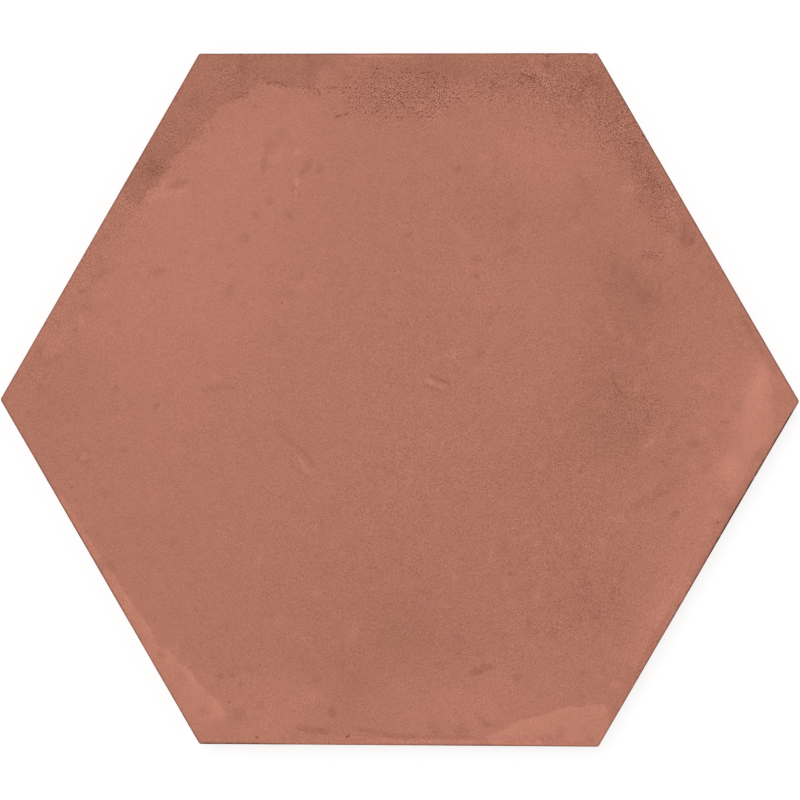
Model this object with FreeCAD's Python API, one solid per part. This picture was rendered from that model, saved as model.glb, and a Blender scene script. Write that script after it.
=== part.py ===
"""Hexagon floor tile, dry-pressed and fired as one piece.

The tile lies face up. The origin is the middle of its back, in the plane that beds on the adhesive.
+Z points to the face, and +X to a corner. Lengths are in millimetres.
"""

import FreeCAD, Part
import math
import os

# Outline and section
ACROSS_FLATS = 182.0        # between two opposite edges, at the upright walls
THICKNESS = 9.0             # from the bedding plane to the face
CORNER_RADIUS = 0.8         # the six upright corners, in plan
FACE_ARRIS_RADIUS = 0.4     # the worn edge round the face
BACK_BEVEL_WIDTH = 1.2      # how far the edge of the back lies inside the upright wall
BACK_BEVEL_HEIGHT = 3.0     # where that bevel meets the upright wall

# Keying pattern on the back: shallow hexagonal cells in a honeycomb of ribs
CELL_PITCH = 13.0           # from one cell's middle to the next
RIB_LAND = 2.4              # flat top of the rib between two cells
CELL_DEPTH = 0.7
CELL_WALL_SPREAD = 0.5      # how far a cell's wall leans, from its mouth to its floor
BACK_RIM = 4.0              # least width of plain back outside the cells

NODE = "hexagon_tile"
SIDES = 6
STEP_ANGLE = 2 * math.pi / SIDES
FLAT_TO_CORNER = 1 / math.cos(STEP_ANGLE / 2)   # a hexagon's corner radius over its flat radius
FLAT_UP = 0.0                                   # a hexagon with corners on the X axis
CORNER_UP = STEP_ANGLE / 2                      # the same, turned to have corners on the Y axis
OVERSHOOT = 1.0                                 # how far a cutting solid runs past what it cuts
LEVEL_TOLERANCE = 1e-6                          # rise at which an edge still counts as level
ROW_HEIGHT = CELL_PITCH * math.cos(STEP_ANGLE / 2)   # from one row of cells to the next


def hexagon(across_flats, z, turn):
    """Corners of a level hexagon round the Z axis, anticlockwise from the angle turn."""
    radius = across_flats / 2 * FLAT_TO_CORNER
    angles = [turn + side * STEP_ANGLE for side in range(SIDES)]
    return [FreeCAD.Vector(radius * math.cos(a), radius * math.sin(a), z) for a in angles]


def flat_face(points):
    """Plane face with these corners."""
    return Part.Face(Part.makePolygon(points + points[:1]))


def hexagon_frustum(lower, upper):
    """Solid with plane walls between two hexagons that are turned the same way.

    Every face's corners run anticlockwise seen from outside, so that its normal points out.
    """
    walls = [
        flat_face([lower[side - 1], lower[side], upper[side], upper[side - 1]])
        for side in range(SIDES)
    ]
    shell = Part.makeShell([flat_face(lower[::-1]), flat_face(upper)] + walls)
    shell.sewShape()
    return Part.Solid(shell)


def climbs(edge):
    """True for an edge that isn't level, which on a prism or a frustum is a corner."""
    start, end = (vertex.Point for vertex in edge.Vertexes)
    return abs(end.z - start.z) > LEVEL_TOLERANCE


def round_corners(solid):
    """The solid with its six climbing edges rounded."""
    return solid.makeFillet(CORNER_RADIUS, [edge for edge in solid.Edges if climbs(edge)])


def upright_prism():
    """Hexagonal prism with the tile's upright walls, through the whole thickness."""
    foot = hexagon(ACROSS_FLATS, 0.0, FLAT_UP)
    top = hexagon(ACROSS_FLATS, THICKNESS, FLAT_UP)
    return round_corners(hexagon_frustum(foot, top))


def bevel_frustum():
    """Hexagonal frustum whose walls are the bevel round the back, carried on up past the face."""
    spread = BACK_BEVEL_WIDTH / BACK_BEVEL_HEIGHT
    top_z = THICKNESS + OVERSHOOT
    foot = hexagon(ACROSS_FLATS - 2 * BACK_BEVEL_WIDTH, 0.0, FLAT_UP)
    top = hexagon(ACROSS_FLATS - 2 * BACK_BEVEL_WIDTH + 2 * spread * top_z, top_z, FLAT_UP)
    return round_corners(hexagon_frustum(foot, top))


def round_face_arris(solid):
    """The solid with the edge round its face rounded."""
    face = max(solid.Faces, key=lambda f: f.CenterOfMass.z)
    return solid.makeFillet(FACE_ARRIS_RADIUS, face.Edges)


def blank():
    """The tile with a plain back."""
    return round_face_arris(upright_prism().common(bevel_frustum()))


def key_cell():
    """Cutting solid for one cell, at the origin: its walls draw in from the mouth to the floor."""
    mouth = CELL_PITCH - RIB_LAND
    lean = CELL_WALL_SPREAD / CELL_DEPTH
    lower = hexagon(mouth + 2 * lean * OVERSHOOT, -OVERSHOOT, CORNER_UP)
    upper = hexagon(mouth - 2 * CELL_WALL_SPREAD, CELL_DEPTH, CORNER_UP)
    return hexagon_frustum(lower, upper)


def cell_rings():
    """How many rings of whole cells fit round the middle one, inside the rim."""
    cell_corner = (CELL_PITCH - RIB_LAND) / 2 * FLAT_TO_CORNER
    room = ACROSS_FLATS / 2 - BACK_BEVEL_WIDTH - BACK_RIM - cell_corner
    return max(0, math.floor(room / ROW_HEIGHT))


def cell_centres():
    """Middles of the cells: rows of a honeycomb that together fill a hexagon like the tile's."""
    rings = cell_rings()
    centres = []
    for row in range(-rings, rings + 1):
        cells = 2 * rings + 1 - abs(row)
        first_x = -(cells - 1) * CELL_PITCH / 2
        centres += [(first_x + cell * CELL_PITCH, row * ROW_HEIGHT) for cell in range(cells)]
    return centres


def keyed_back(solid):
    """The solid with every cell pressed into its back."""
    cell = key_cell()
    cells = [cell.translated(FreeCAD.Vector(x, y, 0.0)) for x, y in cell_centres()]
    return solid.cut(Part.makeCompound(cells))


def main():
    os.makedirs("parts", exist_ok=True)
    tile = keyed_back(blank()).Solids[0]
    tile.exportStep(os.path.join("parts", NODE + ".step"))
    print(NODE, "volume", round(tile.Volume), "mm3, faces", len(tile.Faces), "valid", tile.isValid())


main()
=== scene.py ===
"""Looks of the hexagon floor tile: one fired clay piece on a plain studio floor, seen from above.

Blender's lengths are metres. The marks on the face are given in millimetres from the face's middle, X to
the right and Y up as the camera sees them, and their tones in 8-bit steps of lightness above or below the
plain clay.
"""

import math
from collections import namedtuple

import bpy
import numpy as np
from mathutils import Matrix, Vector
from mathutils.geometry import delaunay_2d_cdt


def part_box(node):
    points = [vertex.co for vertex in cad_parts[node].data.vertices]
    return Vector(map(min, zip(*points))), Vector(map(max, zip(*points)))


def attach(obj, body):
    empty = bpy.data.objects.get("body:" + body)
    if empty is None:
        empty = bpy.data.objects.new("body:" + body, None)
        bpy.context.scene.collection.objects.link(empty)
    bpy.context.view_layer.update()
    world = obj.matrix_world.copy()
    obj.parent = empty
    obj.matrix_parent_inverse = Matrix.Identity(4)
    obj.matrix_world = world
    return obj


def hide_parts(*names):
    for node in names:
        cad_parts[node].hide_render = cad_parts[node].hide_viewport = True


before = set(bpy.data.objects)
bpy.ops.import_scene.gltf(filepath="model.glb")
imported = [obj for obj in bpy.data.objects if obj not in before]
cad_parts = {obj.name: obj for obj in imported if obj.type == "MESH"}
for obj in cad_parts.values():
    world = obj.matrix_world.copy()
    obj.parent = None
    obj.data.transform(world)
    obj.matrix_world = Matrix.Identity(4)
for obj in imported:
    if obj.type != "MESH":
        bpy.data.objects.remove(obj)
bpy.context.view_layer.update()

NODE = "hexagon_tile"
MM = 0.001

# Sizes of the tile, in millimetres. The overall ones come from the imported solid.
low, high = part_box(NODE)
HALF_FLATS = high.y / MM  # from the middle to an upright wall
THICKNESS = high.z / MM
CORNER_RADIUS = 0.8
ARRIS_RADIUS = 0.4
BEVEL_WIDTH = 1.2
BEVEL_HEIGHT = 3.0
CELL_PITCH = 13.0
RIB_LAND = 2.4
CELL_DEPTH = 0.7
CELL_WALL_SPREAD = 0.5
BACK_RIM = 4.0

SIDES = 6
STEP_ANGLE = 2 * math.pi / SIDES
FLAT_TO_CORNER = 1 / math.cos(STEP_ANGLE / 2)
HALF_SIDE = HALF_FLATS * math.tan(STEP_ANGLE / 2)

# How far each side draws in at its two ends, anticlockwise, because a pressed tile is never quite true.
# Side 0 is the upper right one, and the last the lower right one.
DRAWN_IN = ((0.39, 0.58), (0.0, 0.15), (0.08, 0.26), (0.37, 0.42), (0.73, 0.0), (0.3, 0.0))
EDGE_WANDER = 0.06  # how far the walls stray inwards along their run
WANDER_FADE = (3.0, 0.5)  # ways in from the wall between which the straying sets in

# How finely the mesh follows the outline and the face
RUN_STEPS = 260  # along one straight side
CORNER_STEPS = 6  # round one corner
ARRIS_STEPS = 4  # round the edge of the face
FACE_MARGINS = (1.8, 1.3, 0.9, 0.6)  # loops that follow the outline inside the face
WALL_LOOPS = (0.08, 0.5, 0.95, 1)  # shares of the way down the upright wall
BEVEL_LOOPS = (0.08, 1)  # shares of the way down the bevel
BASE_PITCH = 1.2  # between vertices on plain clay
FINEST_LEVEL = 3  # each level halves the pitch
LATTICE_REACH = 1.2  # how far the lattice is laid out, in corner radii
MERGE_DISTANCE = 1e-7  # under which the triangulation takes two points for one
FILL_INSIDE = 1  # makes the triangulation keep what lies inside the borders
LEVEL_TOLERANCE = 1e-6  # within which two heights count as one
SHARP_ANGLE = 40  # degrees between faces that are shaded apart
RIM_SHADE_WIDTH = 0.4  # of the painted shade along the face's rounded edge
RING_STEPS = 16  # round a stroke that closes on itself

# Marks on the face. A soft spot is half as strong at its half sizes. Turns are in degrees, anticlockwise.
# Tones and softness given as several numbers are spread evenly along the line.
Spot = namedtuple("Spot", "x y half_length half_width tone turn", defaults=(0,))
Pitted = namedtuple("Pitted", "x y half_length half_width tone count turn", defaults=(0,))
Worn = namedtuple("Worn", "x y half_length half_width strength turn", defaults=(0,))
Tide = namedtuple("Tide", "tones softness fade ragged warmth line")  # its film lies on the line's left
Stroke = namedtuple("Stroke", "half_width tone line gaps", defaults=(0,))  # gaps from 0 to 1 break it up
# A stretch of one side where the painted shade along the edge is deepened or eased
RimShade = namedtuple("RimShade", "side start end tone width", defaults=(RIM_SHADE_WIDTH,))
Flake = namedtuple("Flake", "side place radius bite")


def direction(angle):
    """Unit vector at an angle, or one row for each of several angles."""
    return np.stack([np.cos(angle), np.sin(angle)], axis=-1)


def ring(x, y, radius):
    """Points round a circle."""
    return np.array([x, y]) + radius * direction(np.linspace(0, 2 * math.pi, RING_STEPS + 1))


CLOUDS = [Spot(*row) for row in (
    # Broad pale field on the upper left, and the brighter spots in it
    (-56, 38, 34, 22, 6, 60), (-62, 52, 6, 4, 2, 60), (-36, 68, 16, 8, 3, 15),
    # Dark soot along the upper edge
    (4, 86, 12, 5, -7), (11, 88, 6, 3.5, -5), (-2, 78, 9, 3, -5), (24, 86, 12, 4, -6),
    (46, 83, 12, 6, -8, -10), (-42, 88, 5, 3, -3), (-17, 88, 6, 3, -3),
    # Soot down the upper right edge
    (58, 75, 12, 6, -7, -60), (67, 56, 11, 5, -7, -60), (78, 42, 6, 3, -4, -60),
    # Soot down the upper left edge
    (-64, 61, 4, 3, -5, 30), (-76, 45, 12, 3, -3, 60),
    # Paler and darker fields in the upper middle
    (38, 62, 12, 8, 4, -20), (50, 54, 6, 5, -3), (30, 51, 14, 7, -3, -15), (22, 31, 11, 9, 1.5),
    (7, 22, 8, 9, -1.5), (76, 30, 12, 4, -2.5),
    # Big dark cloud on the right, and its tail across the lower middle
    (60, 27, 14, 7, -6, -65), (62, 30, 9, 2.6, -4, -38), (55, 7, 8, 14, -5), (57, -6, 12, 9, -5),
    (40, -16, 14, 8, -3, 10), (46, -40, 16, 14, -2.5), (-4, -52, 36, 18, -3, 10), (2, -63, 12, 8, -4),
    (-14, -76, 6, 8, -4), (-25, -71, 5, 4, -2.5), (53, -56, 9, 7, -4),
    # Pale right-hand end
    (93, -4, 7, 15, 7.5, -20), (88, -13, 5, 4, -3), (84, -24, 8, 13, 3, -30), (76, -42, 7, 12, 4, -30),
    (70, -56, 4, 8, 4, -30),
    # Left-hand end
    (-88, 2, 10, 8, -3), (-92, -14, 7, 9, -2, 30), (-68, -36, 10, 4, -1.5, 10),
    # Lower edge
    (18, -80, 16, 6, 4), (-34, -80, 12, 7, 4), (-33, -88, 5, 2.5, 3), (-25, -88.5, 4, 2, -4),
    (17, -88, 4, 2.5, 2),
)]

# Small soft mottles
MOTTLES = [Spot(*row) for row in (
    # Upper left
    (-64.2, 60.5, 2.6, 1.5, -6, 15), (-62, 56.5, 2.6, 1.6, 4, 65), (-64, 53.5, 2.6, 1, 3.5, 15),
    (-32, 81.3, 3, 0.9, 3), (-54, 78.5, 1.6, 1.4, -7), (-41, 87.5, 2.6, 1.1, -8, 90),
    (-43.2, 87, 1.5, 0.8, 3, 90), (-31, 83, 1.1, 0.8, -3), (-23, 88, 1.8, 1.1, -7, 90),
    (-18.5, 88.3, 1.5, 1.4, -7), (-19.5, 86, 1.4, 0.9, 5), (-13.6, 84.4, 0.9, 0.7, -8),
    (-6, 86, 1.8, 0.6, -7, 90), (-41.5, 80, 0.9, 0.8, -3), (-28.8, 68, 1.2, 0.5, -5.5, 90),
    (-32.5, 63.5, 1.5, 0.8, 8, 20), (-28, 55.5, 1, 0.5, -8, 90), (-27, 57, 0.9, 0.6, 9, 90),
    (-47, 40, 1, 0.8, -5.5, 90), (-51.8, 37.5, 0.9, 0.7, -7, 90), (-44.8, 35, 0.7, 0.7, -7),
    (-44.8, 28.3, 1.6, 1, -8, 70), (-43.8, 30.3, 0.8, 0.6, -5.5, 60), (-34.4, 34.5, 1.2, 0.6, -4.5, 90),
    (-26, 32.6, 1.5, 0.8, -5.5, 60), (-28.5, 28, 0.8, 0.7, -5.5, 90), (-25.6, 29.8, 1.8, 0.9, 5.5, 20),
    (-20, 39, 0.9, 0.6, 5.5, 90), (-67.3, 34.3, 0.8, 0.6, 5.5), (-78.3, 33, 2.4, 0.8, -7, 35),
    (-78, 27.3, 1.8, 0.8, 5.5, 10), (-82.4, 24, 1.8, 0.8, -8, -20), (-83.5, 20.6, 1.4, 0.8, 8, 90),
    (-89, 15.5, 2.5, 0.8, 5.5, 60), (-94.6, 13, 0.9, 0.7, -8, 60), (-93, 9.5, 2, 0.9, -7),
    (-86.5, 13, 0.9, 0.7, -5.5, 90), (-89.5, 11.3, 0.9, 0.6, -7), (-77.5, 8.7, 0.8, 0.6, -5.5),
    (-74, 20.3, 0.6, 0.5, -7), (-49, 3, 4, 0.8, -5.5, 3), (-48, 5.7, 1, 0.6, 5.5),
    (-31, 17, 1, 0.8, -4.5, 90), (-54, 54, 1.8, 0.4, -7, 90), (-77, 42.5, 1, 0.9, -5),
    (-30, 42.6, 1.4, 0.5, -4.5, 30),
    # Upper right
    (22.5, 63.8, 1.1, 0.9, 7), (6, 77, 1.2, 1, 9.5), (16, 82.5, 3, 1.5, 5.5, 20), (65.6, 38, 1.3, 0.8, -13),
    (67.9, 37.1, 1, 0.6, -10, -10), (24.6, 81, 1.5, 1.3, -5.5), (34.6, 84.2, 2.2, 0.5, -8, -5),
    (38.9, 84.9, 2.8, 1.3, 9.5, -50), (39.5, 88, 0.9, 0.7, -11, 90), (51.5, 83.5, 2, 1.1, -7, -30),
    (50.8, 79.5, 1.8, 0.7, 8, -70), (47.5, 78, 1.8, 1.1, -5.5), (43.2, 66.5, 0.8, 0.8, -5.5),
    (48.5, 57.6, 3.4, 0.9, -7, -65), (46.8, 45.3, 1, 0.9, 7), (47, 49, 1.5, 0.8, -4.5, 90),
    (33, 44.3, 1.6, 0.7, 9.5, 90), (29.5, 45.6, 1.4, 0.8, -5.5, 90), (16.5, 44, 2.2, 0.6, 5.5, -35),
    (2.3, 43.2, 0.9, 0.6, -5.5), (29, 39, 2, 0.8, -7, 15), (20.7, 37, 0.9, 0.7, -8),
    (20.6, 32.5, 1, 0.6, -7), (17, 23.5, 1.2, 0.6, -6, 90), (24.3, 22, 2, 0.6, -8, 50),
    (21, 8.2, 1.1, 0.7, 5.5), (60, 16, 2, 0.6, 7, 90), (66.3, 14.2, 1.6, 0.6, 8, 90),
    (62.5, 4, 1.6, 0.8, 7, 60), (55.5, 18.8, 1.7, 0.7, 8, -60), (57, 35.2, 0.9, 0.8, -5.5),
    (61, 33, 1.6, 0.7, -5.5, -60), (66, 27, 3, 1.5, -5.5, -15), (62, 67, 2, 1, -8, -20),
    (62.5, 62, 1.5, 1.1, -7, 90), (67, 57, 2, 1.8, -7, -50), (61, 55.8, 2.2, 1.6, 8, 90),
    (71.8, 49.6, 2.4, 0.9, 8, -65), (71.5, 45, 0.8, 0.6, -7), (71, 42.5, 1, 1, 5.5),
    (83.2, 33, 2.4, 0.7, -7, -62), (91.6, 19.5, 3, 0.8, -9.5, -60), (95.2, 13.3, 3, 0.8, -9.5, -60),
    (98.4, 8.6, 2, 0.8, -8, -60), (94.9, 6, 4, 1.3, 7, 85), (100, 1.2, 2.6, 1.8, -6),
    (80, 5, 2.5, 1.4, 5.5, -30), (75.3, 45, 1.3, 0.6, -8, 80),
    # Lower left
    (-72.7, -13.5, 0.8, 0.7, -9), (-77, -25, 1.1, 0.8, -7), (-76, -10.5, 1.2, 0.5, -4.5, 90),
    (-87.5, -7.5, 1.2, 1.1, 6), (-57.5, -13.3, 0.9, 0.7, 5.5), (-74.5, -1.5, 0.7, 0.6, -5.5),
    (-76, -43.8, 1.5, 1, -8, -60), (-79.5, -36, 1.4, 0.8, -4.5, -60), (-59.5, -37.8, 1.3, 0.7, -5.5, 15),
    (-37, -43.3, 1.6, 0.9, 5.5, 90), (-47, -35, 0.9, 0.7, 4.5), (-22, -51, 0.9, 0.7, 7),
    (-31.8, -58.3, 2, 1.2, 4.5, 20), (-34, -57, 0.7, 0.6, -7), (-12, -61.4, 3.3, 1.3, 5.5, 78),
    (-6.5, -67, 1.6, 0.6, 5.5, 25), (-41, -70.9, 2.3, 0.5, -8, 5), (-44.3, -72.8, 0.8, 0.7, -7),
    (-49, -68.3, 0.8, 0.6, -5.5), (-23, -78, 2.6, 1.5, 5.5, 15), (-51.5, -82.3, 1, 0.8, -6),
    (-62.8, -67.3, 0.9, 0.8, -8), (-57.5, -73, 1.5, 0.8, -5.5, -40), (-71.5, -53.3, 1.4, 0.8, 3, -60),
    (-61, -65.8, 1.3, 0.8, 5.5, -40), (-54.4, -74, 2, 1.2, 5.5, -50), (-47.6, -82, 2, 1.4, 3.5, -50),
    # Lower right
    (3.3, -19.3, 0.9, 0.7, 7), (37.5, -16.5, 1.8, 1, 7, 65), (41.5, -8, 1.1, 0.7, 7),
    (92.6, 0.5, 8, 2.5, 5.5, 86), (80.2, -13.9, 1.3, 0.8, -7, -40), (80.5, -17.5, 1, 0.8, -6),
    (84.4, -9.6, 2, 1.6, -5), (89, -1.8, 2, 1.3, -6, 90), (76.2, -17.1, 1, 0.8, 6),
    (65.4, -11.6, 1.6, 1.4, 6), (65.4, -22.4, 1, 0.9, 5), (61, -25.4, 2, 0.8, 5, 30),
    (71.5, -7.5, 1.6, 0.8, -5, 60), (79.5, -7.5, 1.5, 0.8, 5, -30), (34.3, -48.5, 1.3, 0.8, -5, 40),
    (40.5, -44.5, 1.4, 0.9, -5, -30), (28, -38.5, 1.2, 0.8, -5, 60), (46.5, -41, 1.2, 0.9, -5, 20),
    (19.5, -4.8, 0.7, 0.6, -5.5), (53.5, -1, 1.5, 0.6, 7, 90), (65, -5, 1.8, 0.6, -8, 80),
    (62, -9, 2, 0.8, -5.5, 55), (85.6, -5.5, 1, 0.9, -8), (72.5, -13, 1.2, 0.7, -7),
    (70, -16.8, 1.3, 0.8, -5.5), (54, -17.5, 0.9, 0.8, 5.5), (57, -31, 2.2, 0.9, 7),
    (53.5, -37.5, 1.6, 0.7, 8, -40), (42.3, -36.6, 1.3, 0.7, 7, -40), (36, -37.6, 1, 0.8, 9.5, 90),
    (33.5, -36, 1.4, 0.6, 8, 10), (36, -41.5, 0.9, 0.8, 7), (14.5, -47, 1.3, 0.7, 8, 90),
    (13.5, -42, 1.2, 0.8, 4.5, 90), (28, -48, 2, 0.7, 6, 90), (24, -41, 2.4, 0.8, 5.5, 85),
    (36.2, -52, 1.6, 0.8, 8, 90), (12.5, -54, 1.1, 1, 5.5), (29, -53.5, 1.1, 0.6, 7, 90),
    (49.5, -48.3, 0.9, 0.8, -7), (49, -52.3, 0.9, 0.6, -7), (47.5, -56.7, 0.8, 0.7, -7),
    (34.2, -58.5, 1, 0.7, -9.5, 90), (59, -44, 0.7, 0.6, -6), (66.8, -47, 2.5, 0.6, -4.5, 80),
    (16, -63, 1.8, 0.8, -8, -50), (15.3, -66.7, 0.9, 0.8, -7), (21.5, -67, 0.8, 0.7, -7),
    (10.8, -69.8, 1.3, 0.6, -5.5), (27, -61.5, 0.9, 0.7, -5.5, 30), (48, -77.7, 0.9, 0.7, -7),
    (21.3, -83, 1, 0.6, -7, -45), (24, -85.3, 2, 0.7, -7, -10), (16.3, -86.3, 1.6, 1.1, -7, 70),
    (9.5, -87, 1.5, 1.2, -7, 90), (42.5, -87, 1.2, 0.8, -8, 90), (50.6, -89.2, 1.3, 0.8, -10),
    (73.3, -53.8, 0.8, 0.7, -9.5), (57, -74.5, 1.1, 1, 7), (86.8, -17, 2.6, 2.2, 9.5, 60),
    (82.6, -30.5, 3, 1.4, 5.5, 55), (94, -14, 1.4, 0.9, -7, 50), (86.3, -27.5, 1.6, 1.2, -7, 60),
    (83, -32, 1, 0.7, -9.5),
)]

# Films with one defined edge, where the skin pooled or the kiln's smoke reached
TIDES = [
    # Soot at the upper left, crisp at its two ends and blurred between them
    Tide((-10, -12, -10, -8, -9, -9), (0.3, 0.4, 1.3, 0.8, 0.3, 0.3), 24, 1.2, 0, [
        (-70, 49), (-66, 54.5), (-63.1, 56.6), (-62, 60.1), (-58.9, 62.9), (-55, 67.1), (-52.3, 69),
        (-50.5, 72.4), (-46.6, 76.8), (-41.1, 79.5), (-36.1, 82.6), (-31.4, 83.1), (-26.1, 82.1),
        (-20.9, 80.3),
    ]),
    # Pale wedge along the lower left edge, in two reaches
    Tide(9, 0.25, 9, 0.4, 0.04, [(-78, -42), (-80, -38.9), (-82.6, -34.7), (-86, -29.5), (-89.7, -24.2)]),
    Tide(10, 0.25, 7, 0.5, 0.08, [
        (-44.7, -84.5), (-46, -82.1), (-47.9, -79.5), (-50.5, -76.9), (-53.4, -74.3), (-55, -71.7),
        (-57.6, -69.6), (-59.7, -67.5), (-62, -65.6), (-63.4, -64.8), (-63.9, -63.3), (-65.5, -60.4),
        (-68.1, -57), (-70.2, -53.8), (-72.8, -49.9), (-75.2, -45.9), (-77, -43.5),
    ]),
    # Pale wedge in the lower right corner
    Tide(11, 0.3, 14, 0.4, 0.08, [
        (55.4, -79.6), (53.4, -79.8), (50.3, -80), (44.5, -80.5), (39.7, -81.8), (34.5, -83.4), (29.7, -85),
        (25.6, -87.2), (22.4, -88.8),
    ]),
    # Pale band at the right-hand end, and its run down the lower right edge
    Tide(4, 0.25, 5, 0.6, 0.05, [
        (87.1, -26.3), (89.2, -23.2), (91.1, -18.4), (92.9, -13.7), (96.8, -11.1), (98.2, -5.3), (97.9, 3.9),
        (96.6, 8.4),
    ]),
    Tide(5, 0.25, 4, 0.4, 0.05, [(62.4, -70.5), (65.5, -63.7), (68.7, -57.9), (71.8, -52.6), (77.4, -46.1)]),
    # Low lip near the lower edge
    Tide(4, 0.2, 4, 0.2, 0.03, [
        (26.4, -88.8), (10.6, -89), (3.3, -89.2), (0.1, -89), (-3.8, -88.2), (-7.2, -87.7), (-14.3, -87.4),
        (-18.2, -87.7), (-23.5, -87.7), (-26.1, -86.6),
    ]),
]

# Blots with a soft rim
SMUDGES = [Spot(*row) for row in (
    # Upper left
    (-58.2, 56.6, 2.6, 1.1, -9, 18), (-57.6, 54.7, 1.5, 0.4, 4, 18), (-40.8, 42.5, 1.7, 1.3, -7, 30),
    (-35.4, 62, 2.7, 0.9, -8, 78), (-34, 67.1, 1.5, 2, -6), (-24.4, 61.2, 2.6, 1.1, -8, 57),
    (-20.8, 60.5, 1.3, 1.3, -8), (-34, 52.3, 0.8, 1.5, -8), (-37.6, 48.2, 1.8, 0.9, -7, -40),
    (-28.8, 48.3, 1.9, 0.8, -8, -55), (-30.8, 70.3, 2, 1.5, -4), (-26.8, 65, 0.9, 0.8, 6),
    # Left
    (-63.4, 33.8, 2.5, 0.9, -9, 10), (-69.2, 32.9, 0.6, 0.7, -6), (-66, 32.4, 0.5, 0.5, -5),
    (-83.4, 28.4, 1.4, 0.7, -9), (-85.3, 18.4, 0.7, 0.6, -6), (-74.7, 2.6, 0.8, 1, -5),
    (-64, -1.8, 1.1, 0.7, -9, 40), (-91.8, 13.2, 3.5, 1.2, 3, 60), (-83, -15, 0.9, 0.9, 6),
    # Middle
    (15.5, 60.3, 0.9, 0.9, -8), (13.4, 11.8, 1.5, 1, 5), (17.9, -18.2, 0.8, 0.6, 7),
    (21.3, 12, 1.5, 0.7, -6, 35),
    # Right
    (72.4, -30, 1.7, 1, -8, 45), (77.3, -11.2, 2, 1, -8), (40.5, -61.3, 1, 1.5, -7),
    (51.6, -57.1, 0.9, 0.7, -7), (56.3, -49.5, 0.8, 0.8, -6), (76, 42.3, 2, 1.5, -9, -30),
    (39.2, 87.6, 0.6, 1.3, -9),
    # Lower edge
    (21.8, -70.8, 4, 1.1, -10, 19), (-17.6, -82.4, 1.2, 1.4, -9), (-21.7, -73.6, 1.2, 1, -5.5),
    (-46.8, -73, 0.9, 0.8, -9), (-41.7, -75, 0.8, 0.7, -10), (-42, -83, 2.3, 1.6, -7, 30),
    (-36.7, -80.6, 1.5, 0.8, -5, 45), (-19.5, -87.1, 1.8, 0.9, -7), (31.3, -72.9, 1.3, 1, -7),
    (6.1, -78.7, 0.9, 0.6, -6), (16.6, -87.4, 2, 2, -3), (22.6, -85.5, 1.5, 1, -4),
    (53.7, -70.8, 0.7, 0.9, -8), (48.4, -71.8, 0.7, 0.7, -6), (37.1, -77.6, 1, 0.8, -4),
)]
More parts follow.
